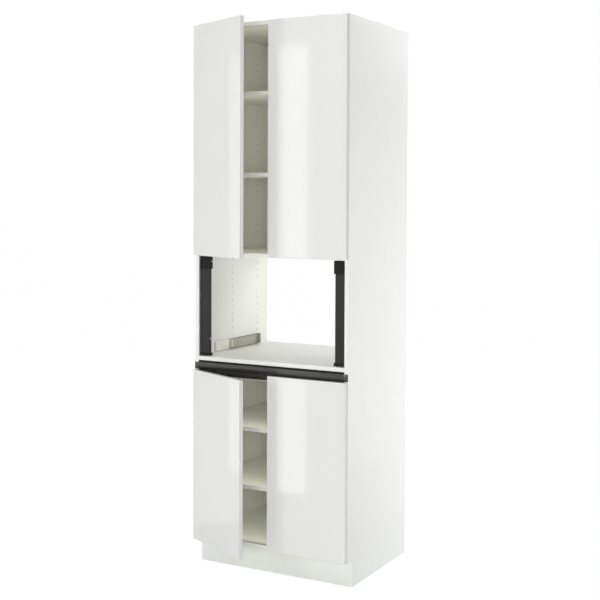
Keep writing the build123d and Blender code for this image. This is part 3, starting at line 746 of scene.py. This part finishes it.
@dataclass
class SupportRail:
    """A steel rail for the appliance: a smooth nose in front and a flanged channel behind it, whose darker
    tone is painted shade.
    """

    side: Side
    wall: float = 1.5 * MM
    nose: float = 120 * MM
    nose_start: float = 2 * MM
    ramp: float = 8 * MM
    step: float = 5 * MM
    rib_offset: float = 28 * MM
    rib_thick: float = 2 * MM
    web_offset: float = 10 * MM
    lip: float = 4 * MM
    end_frame: float = 7 * MM
    ease: float = 0.3 * MM

    @property
    def node(self) -> str:
        """Return the node that the rail stands for."""
        return f"support_rail_{self.side.label}"

    def plate(self, shape: bmesh.types.BMesh, across: tuple[float, float], along: tuple[float, float],
              upright: tuple[float, float]) -> None:
        """Add a plate of the rail.

        Args:
            shape: the edit mesh.
            across: its two distances from the side panel.
            along: its first and last Y.
            upright: its first and last Z.
        """
        low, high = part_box(self.node)
        seat = high[0] if self.side is Side.RIGHT else low[0]
        x0, x1 = sorted(seat - self.side.value * distance for distance in across)
        add_box(shape, (x0, along[0], upright[0]), (x1, along[1], upright[1]), self.ease)

    def build(self, shop: Workshop) -> None:
        """Make the nose and the channel and let them stand for the node.

        Args:
            shop: the workshop that finishes the pieces.
        """
        low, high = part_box(self.node)
        depth = high[0] - low[0]
        y0, y1, z0, z1 = low[1], high[1], low[2], high[2]
        split = y0 + self.nose
        rib = split + self.rib_offset
        rib_back = rib + self.rib_thick
        end = y1 - self.end_frame
        wall, step = self.wall, self.step
        nose, channel = bmesh.new(), bmesh.new()
        self.plate(nose, (step - wall, step), (y0 + self.ramp, split), (z0, z1))
        self.plate(nose, (0, step - wall), (y0 + self.nose_start, y0 + self.ramp), (z0, z1))
        self.plate(nose, (0, step), (split - wall, split), (z0, z1))
        self.plate(nose, (0, step), (rib, rib_back), (z0, z1))
        self.plate(nose, (depth - wall, depth), (end, end + self.rib_thick), (z0, z1 - self.lip))
        self.plate(channel, (0, wall), (split, y1), (z0, z1))
        self.plate(channel, (0, depth), (rib_back, y1), (z1 - wall, z1))
        self.plate(channel, (depth - wall, depth), (rib + self.web_offset, y1), (z1 - self.lip, z1))
        self.plate(channel, (0, depth), (split, y1), (z0, z0 + wall))
        self.plate(channel, (0, depth), (y1 - wall, y1), (z0, z1))
        # The channel's darker finish is painted shade of its recess between the flanges.
        for part, shape, finish in (("nose", nose, GALVANISED), ("channel", channel, SHADED_CHANNEL_SHEET)):
            name = f"rail_{part}_{self.side.label}"
            mesh = mesh_from(shape, name)
            mesh.materials.append(shop.material(finish))
            shop.piece(name, mesh, CARCASS, "galvanised_steel", self.node)


# A foot's section from the ground up: share of its radius, share of its height, whether it is gripped.
FOOT_LEVELS = ((1.0, 0.0, False), (1.0, 0.06, False), (1.0, 0.4, True), (0.97, 0.46, True),
               (0.66, 0.92, False), (0.6, 1.0, False))


@dataclass
class LevellingLegs:
    """The four adjustable legs: a ribbed socket, a stem with a round thread and a foot with a grip."""

    plate_height: float = 4 * MM
    plate_ease: float = MM
    tube_radius: float = 21 * MM
    tube_wall: float = 3 * MM
    tube_length: float = 62 * MM
    tube_ease: float = 0.6 * MM
    tube_steps: int = 40
    web_count: int = 4
    web_thick: float = 2 * MM
    web_inset: float = 3 * MM
    web_sink: float = MM
    web_toe: float = 2 * MM
    web_height: float = 40 * MM
    stem_radius: float = 11 * MM
    collar_height: float = 6 * MM
    thread_pitch: float = 5 * MM
    thread_depth: float = 1.2 * MM
    thread_shares: tuple[float, ...] = (0.1, 0.35, 0.65, 0.9)
    foot_radius: float = 30 * MM
    foot_height: float = 14 * MM
    grip_count: int = 36
    grip_depth: float = 0.8 * MM

    def socket(self, shape: bmesh.types.BMesh, low: Vector, high: Vector) -> None:
        """Add one socket: plate, tube open below and webs.

        Args:
            shape: the edit mesh.
            low: the lowest corner of the plain socket.
            high: its highest corner.
        """
        middle = (low + high) / 2
        centre = Matrix.Translation((middle.x, middle.y, 0))
        seat = high.z - self.plate_height
        mouth = seat - self.tube_length
        add_box(shape, (low.x, low.y, seat), (high.x, high.y, high.z), self.plate_ease)
        r, inside, ease = self.tube_radius, self.tube_radius - self.tube_wall, self.tube_ease
        profile = [(inside, mouth), (r - ease, mouth), (r, mouth + ease), (r, seat), (inside, seat),
                   (inside, mouth)]
        add_lathe(shape, profile, centre, self.tube_steps)
        root, reach = r - self.web_sink, (high.x - low.x) / 2 - self.web_inset
        corners = [(root, seat), (reach, seat), (reach, seat - self.web_toe), (root, seat - self.web_height)]
        for n in range(self.web_count):
            spin = centre @ Matrix.Rotation(2 * math.pi * (n + 0.5) / self.web_count, 4, "Z")
            near, far = [[shape.verts.new(spin @ Vector((x, y, z))) for x, z in corners]
                         for y in (-self.web_thick / 2, self.web_thick / 2)]
            for k in range(len(corners)):
                shape.faces.new((near[k], near[k - 1], far[k - 1], far[k]))
            shape.faces.new(near)
            shape.faces.new(far)

    def stem(self, shape: bmesh.types.BMesh, low: Vector, high: Vector, mouth: float) -> None:
        """Add one threaded stem with the collar in the tube's mouth.

        Args:
            shape: the edit mesh.
            low: the lowest corner of the plain stem.
            high: its highest corner.
            mouth: Z of the tube's mouth.
        """
        middle = (low + high) / 2
        collar = self.tube_radius - self.tube_wall
        crest, root = self.stem_radius, self.stem_radius - self.thread_depth
        profile = [(0, low.z), (root, low.z)]
        level = low.z
        while level + self.thread_pitch < mouth:
            heights = [level + share * self.thread_pitch for share in self.thread_shares]
            profile += zip((root, crest, crest, root), heights)
            level += self.thread_pitch
        collar_top = mouth + self.collar_height
        profile += [(root, mouth), (collar, mouth), (collar, collar_top), (root, collar_top),
                    (root, high.z), (0, high.z)]
        add_lathe(shape, profile, Matrix.Translation((middle.x, middle.y, 0)))

    def foot(self, shape: bmesh.types.BMesh, low: Vector, high: Vector) -> None:
        """Add one foot, its rim notched for the fingers.

        Args:
            shape: the edit mesh.
            low: the lowest corner of the plain foot.
            high: its highest corner.
        """
        middle = (low + high) / 2
        steps = self.grip_count * 4
        rings = []
        for share, height, gripped in FOOT_LEVELS:
            level = low.z + height * self.foot_height
            ring = []
            for n in range(steps):
                turn = 2 * math.pi * n / steps
                notch = self.grip_depth if gripped and n % 4 < 2 else 0
                reach = self.foot_radius * share - notch
                spot = (middle.x + reach * math.cos(turn), middle.y + reach * math.sin(turn), level)
                ring.append(shape.verts.new(spot))
            rings.append(ring)
        for below, above in zip(rings, rings[1:]):
            for n in range(steps):
                m = (n + 1) % steps
                shape.faces.new((below[n], below[m], above[m], above[n]))
        shape.faces.new(rings[0])
        shape.faces.new(rings[-1])

    def build(self, shop: Workshop) -> None:
        """Make the sockets, the stems and the feet.

        Args:
            shop: the workshop that finishes the pieces.
        """
        sockets, stems, feet = bmesh.new(), bmesh.new(), bmesh.new()
        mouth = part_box("leg_sockets")[1][2] - self.plate_height - self.tube_length
        for corners in islands("leg_sockets"):
            self.socket(sockets, *spans(corners))
        for corners in islands("leg_stems"):
            self.stem(stems, *spans(corners), mouth)
        for corners in islands("leg_feet"):
            self.foot(feet, *spans(corners))
        for node, shape in (("leg_sockets", sockets), ("leg_stems", stems), ("leg_feet", feet)):
            shop.piece(f"{node}_moulded", mesh_from(shape, node, smooth=True), CARCASS, "leg_plastic", node)


@dataclass
class ConnectorSet:
    """The eccentric connectors that pull the panels together: round drums with a cross recess."""

    node: str = "cam_connectors"
    radius: float = 7.5 * MM
    depth: float = 12 * MM
    recess_width: float = 1.6 * MM
    recess_reach: float = 4.2 * MM
    recess_depth: float = 2.5 * MM
    recess_stagger: float = 0.01 * MM
    recess_turn: float = math.radians(35)
    ease: float = 0.5 * MM
    panels: tuple[str, ...] = ("top_panel", "bay_roof_panel", "bay_floor_panel", "duct_floor_panel",
                               "bottom_panel")

    def drum(self) -> bpy.types.Mesh:
        """Make one drum.

        Returns:
            The drum at the origin, its recess upward.
        """
        form = bmesh.new()
        r, h, ease = self.radius, self.depth, self.ease
        profile = [(0, 0), (r - ease, 0), (r, ease), (r, h - ease), (r - ease, h), (0, h)]
        add_lathe(form, profile, Matrix.Identity(4))
        bars = cross_bars(self.recess_width, self.recess_reach, h - self.recess_depth, h + OVERCUT,
                          self.recess_stagger)
        return carved(mesh_from(form, "drum"), bars, "connector")

    def build(self, shop: Workshop) -> None:
        """Make the drums, each with its recess on the side where its panel is open.

        Args:
            shop: the workshop that finishes the piece.
        """
        drum = self.drum()
        shape = bmesh.new()
        panels = [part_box(name) for name in self.panels]
        for corners in islands(self.node):
            low, high = spans(corners)
            middle = (low + high) / 2
            panel = min(panels, key=lambda box: abs((box[0][2] + box[1][2]) / 2 - middle.z))
            opens_up = abs(panel[1][2] - high.z) < MM
            place = Matrix.Translation((middle.x, middle.y, low.z if opens_up else high.z))
            if not opens_up:
                place = place @ Matrix.Rotation(math.pi, 4, "X")
            copy = drum.copy()
            copy.transform(place @ Matrix.Rotation(self.recess_turn, 4, "Z"))
            shape.from_mesh(copy)
        name = "connector_drums"
        shop.piece(name, mesh_from(shape, name, smooth=True), CARCASS, "zinc_steel", self.node)


@dataclass
class ShelfPins:
    """Turned steel pins: a plug in the side panel and a thicker head with a rounded nose under the shelf."""

    node: str = "shelf_pins"
    plug_radius: float = 2.45 * MM
    plug_ease: float = 0.5 * MM
    head_radius: float = 3.5 * MM
    head_length: float = 8 * MM
    nose: float = 0.8 * MM
    nose_shares: tuple[float, float] = (0.25, 0.3)
    steps: int = 24

    def profile(self, length: float) -> Outline:
        """Lay out a pin's section.

        Args:
            length: the whole pin's length.

        Returns:
            (radius, height) from the nose to the plug's end.
        """
        r, plug, nose = self.head_radius, self.plug_radius, self.nose
        inward, along = self.nose_shares
        return [(0, 0), (r - nose, 0), (r - inward * nose, along * nose), (r, nose), (r, self.head_length),
                (plug, self.head_length), (plug, length - self.plug_ease), (plug - self.plug_ease, length),
                (0, length)]

    def build(self, shop: Workshop) -> None:
        """Make the pins and let them stand for their node.

        Args:
            shop: the workshop that finishes the piece.
        """
        shape = bmesh.new()
        for corners in islands(self.node):
            low, high = spans(corners)
            middle = (low + high) / 2
            outward = math.copysign(1, middle.x)
            inner_end = low.x if outward > 0 else high.x
            place = facing(Vector((inner_end, middle.y, middle.z)), Vector((outward, 0, 0)))
            add_lathe(shape, self.profile(high.x - low.x), place, self.steps)
        name = "shelf_pins_turned"
        shop.piece(name, mesh_from(shape, name, smooth=True), CARCASS, "zinc_steel", self.node)


@dataclass(frozen=True)
class Lamp:
    """A soft rectangular lamp, in metres and watts, which the camera itself doesn't see."""

    name: str
    place: Point
    target: Point
    size: tuple[float, float]
    power: float
    colour: str = "#FFFFFF"
    only_mirrored: bool = False

    def hang(self) -> None:
        """Hang the lamp at its place, turned to its target."""
        data = bpy.data.lights.new(self.name, "AREA")
        data.shape = "RECTANGLE"
        data.size, data.size_y = self.size
        data.energy = self.power
        data.color = linear(self.colour)[:3]
        lamp = bpy.data.objects.new(self.name, data)
        place = Vector(self.place)
        aim = Vector(self.target) - place
        lamp.matrix_world = Matrix.Translation(place) @ aim.to_track_quat("-Z", "Y").to_matrix().to_4x4()
        lamp.visible_camera = False
        lamp.visible_diffuse = not self.only_mirrored
        bpy.context.scene.collection.objects.link(lamp)


# The lamps of the room. With the doors at rest, no gloss front mirrors them to the camera.
ROOM_LAMPS = (
    Lamp("front_lamp", (0.6, -5.0, 0.7), (0, 0, 0.9), (1.6, 0.8), 52.0),
    Lamp("key_lamp", (2.45, -4.24, 1.64), (0, 0, 1.35), (0.6, 1.0), 48.0),
    Lamp("left_lamp", (-2.8, -3.86, 1.5), (0, 0, 1.25), (0.8, 1.8), 38.0),
    Lamp("top_lamp", (0.4, -1.6, 4.6), (0, 0, 1.0), (2.4, 2.4), 38.0),
    Lamp("back_lamp", (0.6, 3.0, 3.4), (0, 0.2, 1.4), (2.0, 2.0), 60.0),
    Lamp("rear_left_lamp", (-3.2, 1.9, 1.5), (-0.38, 0.25, 1.2), (1.4, 2.2), 50.0),
    Lamp("side_lamp", (1.7, 1.5, 1.12), (0.38, 0.4, 1.2), (0.8, 2.2), 22.0),
)
# The upright bands in the gloss fronts, which the photograph shows: a bright one with a soft glow around it
# in the right doors, and a faint one with a broad glow in the left doors. Only mirroring surfaces show them.
BAND_LAMPS = (
    Lamp("right_band", (-0.534, -1.25, 1.243), (-0.534, 0, 1.243), (0.179, 2.425), 2.7, only_mirrored=True),
    Lamp("right_band_glow", (-0.515, -1.26, 1.25), (-0.515, 0, 1.25), (0.215, 2.48), 0.7,
         only_mirrored=True),
    Lamp("left_band", (-1.6, -0.46, 1.268), (0, -0.46, 1.268), (0.12, 2.33), 0.72, only_mirrored=True),
    Lamp("left_glow", (-0.95, -0.27, 1.3), (0, -0.27, 1.3), (0.45, 2.58), 2.0, only_mirrored=True),
)


def compartment_lamps() -> tuple[Lamp, Lamp]:
    """Return the dim, warm fills of the two compartments, just behind the shelves' front edges."""
    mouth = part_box("shelf_1")[0][1] + MM
    warm = "#FFFEE4"
    return (Lamp("upper_shade", (0, mouth, 1.92), (0, 1, 1.92), (0.7, 0.96), 1.35, warm),
            Lamp("lower_shade", (0, mouth, 0.49), (0, 1, 0.49), (0.7, 0.70), 1.2, warm))


def seen_rays(tree: bpy.types.NodeTree) -> tuple[bpy.types.Node, bpy.types.Node]:
    """Return the light path's node and a node that gives 1 to camera rays and to mirrored ones."""
    ray = add_node(tree, "ShaderNodeLightPath")
    seen = add_node(tree, "ShaderNodeMath", {"operation": "MAXIMUM"},
                    {0: (ray, "Is Camera Ray"), 1: (ray, "Is Glossy Ray")})
    return ray, seen


@dataclass
class Studio:
    """A white studio: the camera, a pale floor, the surrounding light and the lamps."""

    camera_place: Vector = field(default_factory=lambda: Vector((2.4496, -4.2386, 1.6401)))
    yaw: float = 0.49946
    pitch: float = -0.03248
    roll: float = 0.00415
    focal_pixels: float = 1127.54
    centre_pixel: tuple[float, float] = (303.99, 234.84)
    sensor_mm: float = 36.0
    ambient: float = 0.18
    floor_reach: float = 40.0
    floor_glow: float = 1.02
    glow_share: float = 0.97

    def camera(self) -> None:
        """Set up the camera at the photograph's place, angle and lens."""
        ahead = Vector((-math.sin(self.yaw) * math.cos(self.pitch),
                        math.cos(self.yaw) * math.cos(self.pitch), math.sin(self.pitch)))
        level = Vector((math.cos(self.yaw), math.sin(self.yaw), 0))
        upward = level.cross(ahead)
        right = math.cos(self.roll) * level + math.sin(self.roll) * upward
        up = math.cos(self.roll) * upward - math.sin(self.roll) * level
        data = bpy.data.cameras.new("camera")
        data.sensor_fit = "HORIZONTAL"
        data.sensor_width = self.sensor_mm
        data.lens = self.focal_pixels / IMAGE_SIDE * self.sensor_mm
        data.shift_x = (IMAGE_SIDE / 2 - self.centre_pixel[0]) / IMAGE_SIDE
        data.shift_y = (self.centre_pixel[1] - IMAGE_SIDE / 2) / IMAGE_SIDE
        camera = bpy.data.objects.new("camera", data)
        turn = Matrix((right, up, -ahead)).transposed().to_4x4()
        camera.matrix_world = Matrix.Translation(self.camera_place) @ turn
        bpy.context.scene.collection.objects.link(camera)
        bpy.context.scene.camera = camera

    def world(self) -> None:
        """Surround the cabinet with soft light, and show plain white behind it."""
        world = bpy.data.worlds.new("white_studio")
        bpy.context.scene.world = world
        world.use_nodes = True
        tree = world.node_tree
        tree.nodes.clear()
        ray, seen = seen_rays(tree)
        shown = add_node(tree, "ShaderNodeMath", {"operation": "MAXIMUM"},
                         {0: (seen, 0), 1: (ray, "Is Transmission Ray")})
        lit, white = [add_node(tree, "ShaderNodeBackground", {"Color": (1, 1, 1, 1), "Strength": strength})
                      for strength in (self.ambient, 1.0)]
        mix = add_node(tree, "ShaderNodeMixShader", {}, {0: (shown, 0), 1: (lit, 0), 2: (white, 0)})
        add_node(tree, "ShaderNodeOutputWorld", {}, {"Surface": (mix, 0)})

    def floor(self) -> None:
        """Lay a pale floor that looks white to the camera and still takes a faint shadow."""
        shape = bmesh.new()
        reach = self.floor_reach
        signs = ((-1, -1), (1, -1), (1, 1), (-1, 1))
        shape.faces.new([shape.verts.new((x * reach, y * reach, 0)) for x, y in signs])
        floor = bpy.data.objects.new("studio_floor", mesh_from(shape, "studio_floor"))
        bpy.context.scene.collection.objects.link(floor)
        material = WHITE_PAINT.build()
        tree = material.node_tree
        shader = next(node for node in tree.nodes if node.type == "BSDF_PRINCIPLED")
        output = next(node for node in tree.nodes if node.type == "OUTPUT_MATERIAL")
        _, seen = seen_rays(tree)
        share = add_node(tree, "ShaderNodeMath", {"operation": "MULTIPLY", 1: self.glow_share},
                         {0: (seen, 0)})
        glow = add_node(tree, "ShaderNodeEmission", {"Color": (1, 1, 1, 1), "Strength": self.floor_glow})
        mix = add_node(tree, "ShaderNodeMixShader", {}, {0: (share, 0), 1: (shader, 0), 2: (glow, 0)})
        tree.links.new(mix.outputs[0], output.inputs["Surface"])
        floor.data.materials.append(material)

    def build(self) -> None:
        """Build the whole studio."""
        bpy.context.scene.view_settings.view_transform = "Standard"
        self.camera()
        self.world()
        self.floor()
        for lamp in (*ROOM_LAMPS, *compartment_lamps(), *BAND_LAMPS):
            lamp.hang()


def main() -> None:
    """Build the studio and dress the cabinet."""
    logging.basicConfig(level=logging.INFO, format="%(message)s")
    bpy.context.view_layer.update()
    shop = Workshop()
    shop.dress_frame()
    Studio().build()
    for side in Side:
        SidePanel(side).build(shop)
        SupportRail(side).build(shop)
    VentilationProfile().build(shop)
    LevellingLegs().build(shop)
    ConnectorSet().build(shop)
    ShelfPins().build(shop)
    ScrewSet("pan_head_screws", CARCASS).build(shop)
    ScrewSet("plate_screws", CARCASS).build(shop)
    for level in ("upper", "lower"):
        for side in Side:
            ScrewSet(f"cup_screws_{level}_{side.label}", f"door_{level}_{side.label}_leaf").build(shop)


if __name__ == "__main__":
    main()
